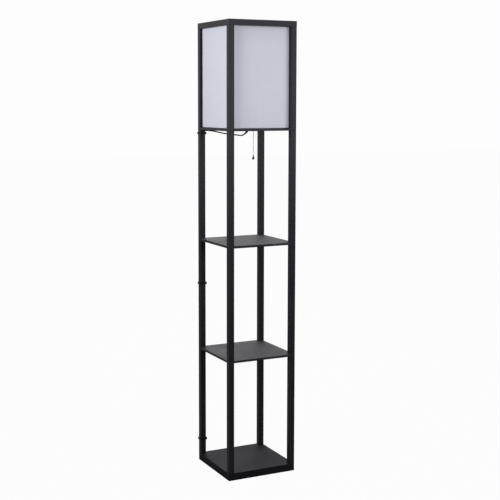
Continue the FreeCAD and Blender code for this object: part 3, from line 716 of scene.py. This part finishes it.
@dataclass(frozen=True)
class LampHolder:
    """The bar, the stem and the lampholder inside the shade."""

    def dress(self) -> None:
        """Dress the lampholder's nodes."""
        dress(
            Moulded("black_powder_coat", "#18181a", "#202022", 0.5, gloss=0.3, grit=0.8 * MM),
            "socket_bar",
        )
        dress(
            Metal("zinc_plated_fixings", "#b9bcc0", "#a5a8ac", 0.32),
            "bar_screws",
            "mounting_nipple",
            "nipple_nuts",
            "drum_pin",
        )
        dress(
            Metal("drawn_brass", "#d1b26a", "#b99750", 0.26),
            "holder_cap",
            "holder_shell",
            "chain_guide",
            "screw_shell",
            "centre_contact",
        )
        dress(Fibre("insulating_card", "#b99a6d", "#a58458", Run.ALONG_Z), "holder_liner")
        dress(
            Moulded("phenolic_moulding", "#1d1a18", "#262220", 0.35), "holder_core", "switch_drum"
        )


@dataclass(frozen=True)
class PullSwitch:
    """The bead chain and its drop-shaped knob."""

    def dress(self) -> None:
        """Dress the chain and the knob."""
        dress(
            Metal("nickel_plated_beads", "#acacb0", "#96969a", 0.26),
            "pull_chain_top",
            "pull_chain_middle",
            "pull_chain_lower",
            "chain_connector",
        )
        dress(Moulded("abs_knob", "#0e0e10", "#151517", 0.3, gloss=0.3), "pull_knob")


@dataclass(frozen=True)
class Bulb:
    """The frosted bulb and its screw cap."""

    def dress(self) -> None:
        """Dress the bulb."""
        dress(FrostedGlass("frosted_soda_glass"), "bulb_glass")
        dress(Metal("drawn_aluminium_cap", "#cfcdc6", "#bcbab3", 0.3), "bulb_cap")


@dataclass(frozen=True)
class Lead:
    """The mains lead with its tied spare length, its plug and its ties.

    Its sizes and points are millimetres in the row frame. The route runs from the sleeve
    under the lampholder to the start of the spare length.
    """

    diameter: float = 4.6
    length: float = 2422.8
    route: tuple[Point, ...] = (
        (-3.2, 3.3, 1210.6),
        (-6.4, 6.6, 1206.2),
        (-10.9, 11.1, 1203.6),
        (-18.9, 19.3, 1203.9),
        (-35.0, 35.7, 1206.0),
        (-54.6, 55.7, 1208.9),
        (-70.6, 71.6, 1212.9),
        (-87.0, 88.6, 1218.0),
        (-98.0, 106.0, 1219.4),
        (-101.4, 119.0, 1219.6),
        (-102.6, 129.6, 1218.2),
        (-105.8, 137.0, 1212.0),
        (-110.2, 140.2, 1203.2),
        (-114.2, 139.3, 1193.4),
        (-117.0, 137.2, 1180.2),
        (-118.6, 135.2, 1160.0),
        (-119.4, 134.1, 1124.0),
        (-119.2, 134.3, 1066.0),
        (-118.5, 135.1, 1002.0),
        (-117.6, 135.7, 936.0),
        (-117.1, 135.8, 870.0),
        (-117.3, 135.3, 806.0),
        (-118.2, 134.4, 742.0),
        (-119.1, 133.6, 690.0),
        (-119.6, 133.4, 636.0),
        (-119.7, 133.9, 578.0),
        (-119.3, 134.8, 514.0),
        (-118.5, 135.6, 448.0),
        (-117.9, 135.8, 382.0),
        (-118.1, 135.4, 318.0),
        (-118.8, 134.6, 254.0),
        (-119.5, 133.8, 192.0),
        (-119.9, 133.4, 132.0),
        (-119.8, 133.3, 84.0),
        (-119.3, 133.6, 48.0),
        (-118.2, 133.9, 28.0),
        (-115.0, 134.1, 17.4),
        (-108.4, 134.2, 8.9),
        (-98.8, 133.9, 4.0),
    )
    lead_run: float = 12.0
    # The tied spare length: its middle, its straight runs, its waist and its layers.
    hank_x: float = -25.0
    hank_half: float = 44.0
    hank_shoulder: float = 36.0
    hank_waist: float = 5.0
    hank_draw: float = 8.5
    hank_lift: float = 1.3
    hank_climb: float = 0.43
    hank_pitch: float = 5.35
    hank_layer: float = 5.1
    # Its folds: their radius, and how far out and at what angles in degrees each is steered.
    fold_radius: float = 13.8
    fold_reach: float = 1.15
    fold_turns: tuple[float, ...] = (-60.0, 0.0, 60.0)
    # Its gap behind the frame, and where the frame ends.
    back_gap: float = 1.0
    frame_back: float = 130.0
    # The stretch from the spare length to the plug.
    tail_steps: tuple[Point, ...] = ((10.0, 0.0, 0.0), (20.0, 1.6, -0.9), (30.5, 5.2, -1.3))
    tail_end: Point = (40.0, 142.2, 6.5)
    plug_run: float = 9.0
    # How finely the curve is drawn.
    round_steps: int = 5
    bend_steps: int = 10
    spline_order: int = 3

    def _hank(self) -> list[Point]:
        """Work out the tied spare length's turns.

        Returns:
            Control points run by run: in at the waist, and three round each fold.
        """
        near = -(self.fold_radius + self.hank_pitch / 4)
        far = self.fold_radius - self.hank_pitch / 4
        radius = self.diameter / 2
        middle = self.frame_back + self.back_gap + radius - near + self.hank_pitch
        # Where each run lies across, and its layer where it starts and where it ends.
        lanes = [
            (near - self.hank_pitch, 0, 0),
            (far + self.hank_pitch, 0, 0),
            (near, 0, 0),
            (far, 0, 1),
            (near, 1, 1),
            (far + self.hank_pitch, 1, 1),
            (near - self.hank_pitch, 1, 1),
        ]
        end = self.hank_half + self.diameter
        points: list[Point] = []
        for index, (across, low_layer, high_layer) in enumerate(lanes):
            way = 1 if index % 2 == 0 else -1
            drawn = across - math.copysign(self.hank_draw, across)
            low = radius + low_layer * self.hank_layer
            high = radius + high_layer * self.hank_layer
            climb = (high - low) * self.hank_climb
            run = [
                (-way * self.hank_shoulder, across, low),
                (-way * self.hank_waist, drawn, low + climb + self.hank_lift),
                (way * self.hank_waist, drawn, high - climb + self.hank_lift),
                (way * self.hank_shoulder, across, high),
            ]
            if index == 0:
                run.insert(0, (-way * end, across, low))
            if index == len(lanes) - 1:
                run.append((way * end, across, high))
            else:
                following = lanes[index + 1][0]
                centre, fold = (across + following) / 2, (following - across) / 2
                # The spline cuts inside its control points, so they stand outside the arc.
                reach = fold * self.fold_reach
                for turn in self.fold_turns:
                    lean = math.radians(turn)
                    out = self.hank_half + abs(reach) * math.cos(lean)
                    run.append((way * out, centre + reach * math.sin(lean), high))
            points += [(self.hank_x + u, middle + w, z) for u, w, z in run]
        return points

    def _points(self) -> list[Point]:
        """Join the route, the spare length and the stretch to the plug."""
        hank = self._hank()
        start, end = Vector(hank[0]), Vector(hank[-1])
        level = tuple(start - Vector((self.lead_run, 0.0, 0.0)))
        tail = [tuple(end + Vector(step)) for step in self.tail_steps]
        along, plug_y, plug_z = self.tail_end
        tail.append((end.x + along, plug_y, plug_z))
        tail.append((end.x + along + self.plug_run, plug_y, plug_z))
        return [*self.route, level, *hank, *tail]

    def build(self) -> None:
        """Build the lead as one smooth spline and dress what is on it."""
        points = self._points()
        curve = bpy.data.curves.new("mains_lead", "CURVE")
        curve.dimensions = "3D"
        curve.bevel_depth = self.diameter / 2 * MM
        curve.bevel_resolution = self.round_steps
        curve.resolution_u = self.bend_steps
        curve.use_fill_caps = True
        spline = curve.splines.new("NURBS")
        spline.points.add(len(points) - 1)
        for slot, point in zip(spline.points, points):
            slot.co = (*(value * MM for value in point), 1.0)
        spline.order_u = self.spline_order
        spline.use_endpoint_u = True
        lead = bpy.data.objects.new("mains_lead", curve)
        bpy.context.scene.collection.objects.link(lead)
        jacket = Moulded(
            "extruded_pvc", "#0d0d0f", "#141416", 0.42, ior=1.53, gloss=0.08, grit=0.9 * MM
        )
        curve.materials.append(jacket.build())
        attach(lead, "frame")
        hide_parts("cord_lead", "cord_hank", "cord_tail")
        dress(
            Moulded("moulded_pvc", "#121214", "#19191c", 0.45, gloss=0.2),
            "cord_relief",
            "plug_body",
        )
        dress(Metal("stamped_brass_blades", "#cdb878", "#b8a265", 0.3), "plug_blades")
        dress(
            Moulded("black_nylon_ties", "#0e0e10", "#161618", 0.48, gloss=0.12),
            "cable_ties",
            "hank_tie",
        )
        log.info("lead: %d control points", len(points))


# ---- Setting ----------------------------------------------------------------------------


@dataclass(frozen=True)
class SoftBox:
    """A square area lamp."""

    name: str
    place: Point
    aim: Point
    side: float
    power: float

    def light(self) -> None:
        """Add the lamp to the scene."""
        data = bpy.data.lights.new(self.name, "AREA")
        data.size = self.side
        data.energy = self.power
        lamp = bpy.data.objects.new(self.name, data)
        lamp.visible_camera = False
        lamp.location = self.place
        lamp.rotation_euler = (
            (Vector(self.aim) - Vector(self.place)).to_track_quat("-Z", "Y").to_euler()
        )
        bpy.context.scene.collection.objects.link(lamp)


@dataclass(frozen=True)
class Viewpoint:
    """The camera, worked out from the edges of the object in the photograph.

    Its angles are radians. Its focal length and centre are pixels of the photograph.
    """

    place: Point = (-1.687398, -3.392414, 1.325811)
    turn: float = 0.453755
    dip: float = 0.103089
    tilt: float = 0.00065
    focal: float = 1065.694
    centre: tuple[float, float] = (237.914, 211.049)
    picture: float = 500.0
    sensor: float = 36.0
    nearest: float = 0.05
    farthest: float = 60.0

    def place_camera(self) -> None:
        """Add the camera and make it the scene's own."""
        ahead = Vector(
            (
                math.sin(self.turn) * math.cos(self.dip),
                math.cos(self.turn) * math.cos(self.dip),
                -math.sin(self.dip),
            )
        )
        right = Vector((math.cos(self.turn), -math.sin(self.turn), 0.0))
        above = right.cross(ahead)
        data = bpy.data.cameras.new("photograph_view")
        data.sensor_width = self.sensor
        data.sensor_fit = "HORIZONTAL"
        data.lens = self.focal * self.sensor / self.picture
        data.shift_x = (self.picture / 2 - self.centre[0]) / self.picture
        data.shift_y = (self.centre[1] - self.picture / 2) / self.picture
        data.clip_start = self.nearest
        data.clip_end = self.farthest
        camera = bpy.data.objects.new("photograph_view", data)
        turned = Matrix((right, above, -ahead)).transposed()
        turned = turned @ Matrix.Rotation(self.tilt, 3, "Z")
        camera.matrix_world = Matrix.Translation(self.place) @ turned.to_4x4()
        bpy.context.scene.collection.objects.link(camera)
        bpy.context.scene.camera = camera


@dataclass(frozen=True)
class Studio:
    """The white floor and surroundings, and the lamps."""

    # What the surroundings give as light, and how they look straight on and mirrored.
    ambient: float = 0.28
    backdrop_glow: float = 0.976
    backdrop_mirrored: float = 1.0
    # The floor: its size, the paper that takes light, and how it looks like the surroundings.
    floor_side: float = 40.0
    floor_paper: str = "#8c8c8c"
    floor_glow: float = 0.97
    floor_mirrored: float = 0.06
    lamps: tuple[SoftBox, ...] = (
        SoftBox("key_left", (-1.3, -0.35, 1.56), (0.0, 0.0, 1.46), 1.0, 17.6),
        SoftBox("fill_front", (0.25, -1.4, 1.54), (0.0, 0.0, 1.48), 1.1, 9.2),
        SoftBox("front_right", (0.98, -1.5, 1.36), (0.0, 0.0, 1.3), 0.8, 6.0),
        SoftBox("behind", (0.35, 2.6, 1.5), (0.0, 0.0, 1.2), 1.0, 14.0),
        SoftBox("behind_right", (2.3, 0.6, 1.4), (0.0, 0.0, 1.1), 1.4, 11.0),
        SoftBox("wide_behind", (1.3, 2.8, 1.35), (0.0, 0.0, 1.0), 2.4, 22.0),
        SoftBox("overhead", (0.2, -0.2, 3.3), (0.0, 0.0, 0.8), 1.4, 18.0),
    )

    def _seen(
        self, tree: bpy.types.NodeTree, direct: float, mirrored: float
    ) -> bpy.types.NodeSocket:
        """Weigh the rays that look at the surroundings, and leave out diffuse light.

        Args:
            tree: The material's or the world's tree.
            direct: The level for rays straight from the camera.
            mirrored: The level for rays by way of a gloss or through glass.

        Returns:
            The level, which is 0 for diffuse light.
        """
        path = add_node(tree, "ShaderNodeLightPath", {})
        bounced = calculate(
            tree, "MAXIMUM", path.outputs["Is Glossy Ray"], path.outputs["Is Transmission Ray"]
        )
        straight = calculate(tree, "MULTIPLY", path.outputs["Is Camera Ray"], direct)
        weighed = calculate(tree, "MULTIPLY", bounced, mirrored)
        return calculate(tree, "MAXIMUM", straight, weighed)

    def _world(self) -> None:
        """Make surroundings that look white and light the object softly."""
        world = bpy.data.worlds.new("white_room")
        world.use_nodes = True
        tree = world.node_tree
        tree.nodes.clear()
        dim, white = [
            add_node(tree, "ShaderNodeBackground", {"Color": WHITE, "Strength": strength})
            for strength in (self.ambient, 1.0)
        ]
        seen = self._seen(tree, self.backdrop_glow, self.backdrop_mirrored)
        mix = add_node(
            tree,
            "ShaderNodeMixShader",
            {},
            {0: seen, 1: dim.outputs[0], 2: white.outputs[0]},
        )
        add_node(tree, "ShaderNodeOutputWorld", {}, {"Surface": mix.outputs[0]})
        bpy.context.scene.world = world

    def _floor(self) -> None:
        """Lay the pale floor, which keeps a faint shadow of the object."""
        mesh = bmesh.new()
        bmesh.ops.create_grid(mesh, x_segments=1, y_segments=1, size=self.floor_side / 2)
        material = bpy.data.materials.new("white_paper_floor")
        material.use_nodes = True
        tree = material.node_tree
        tree.nodes.clear()
        paper = add_node(
            tree, "ShaderNodeBsdfDiffuse", {"Color": linear(self.floor_paper), "Roughness": 0.5}
        )
        glow = add_node(tree, "ShaderNodeEmission", {"Color": WHITE, "Strength": 1.0})
        seen = self._seen(tree, self.floor_glow, self.floor_mirrored)
        mix = add_node(
            tree,
            "ShaderNodeMixShader",
            {},
            {0: seen, 1: paper.outputs[0], 2: glow.outputs[0]},
        )
        add_node(tree, "ShaderNodeOutputMaterial", {}, {"Surface": mix.outputs[0]})
        piece_from(mesh, "floor", material)

    def build(self) -> None:
        """Build the surroundings and light them."""
        self._world()
        self._floor()
        for lamp in self.lamps:
            lamp.light()
        bpy.context.scene.view_settings.view_transform = "Standard"
        log.info("studio: %d lamps", len(self.lamps))


def main() -> None:
    """Dress the lamp, build its soft pieces and set the scene."""
    logging.basicConfig(level=logging.INFO, format="%(name)s: %(message)s")
    Viewpoint().place_camera()
    Lead().build()
    Tower().dress()
    Shade().build()
    LampHolder().dress()
    PullSwitch().dress()
    Bulb().dress()
    Studio().build()


if __name__ == "__main__":
    main()
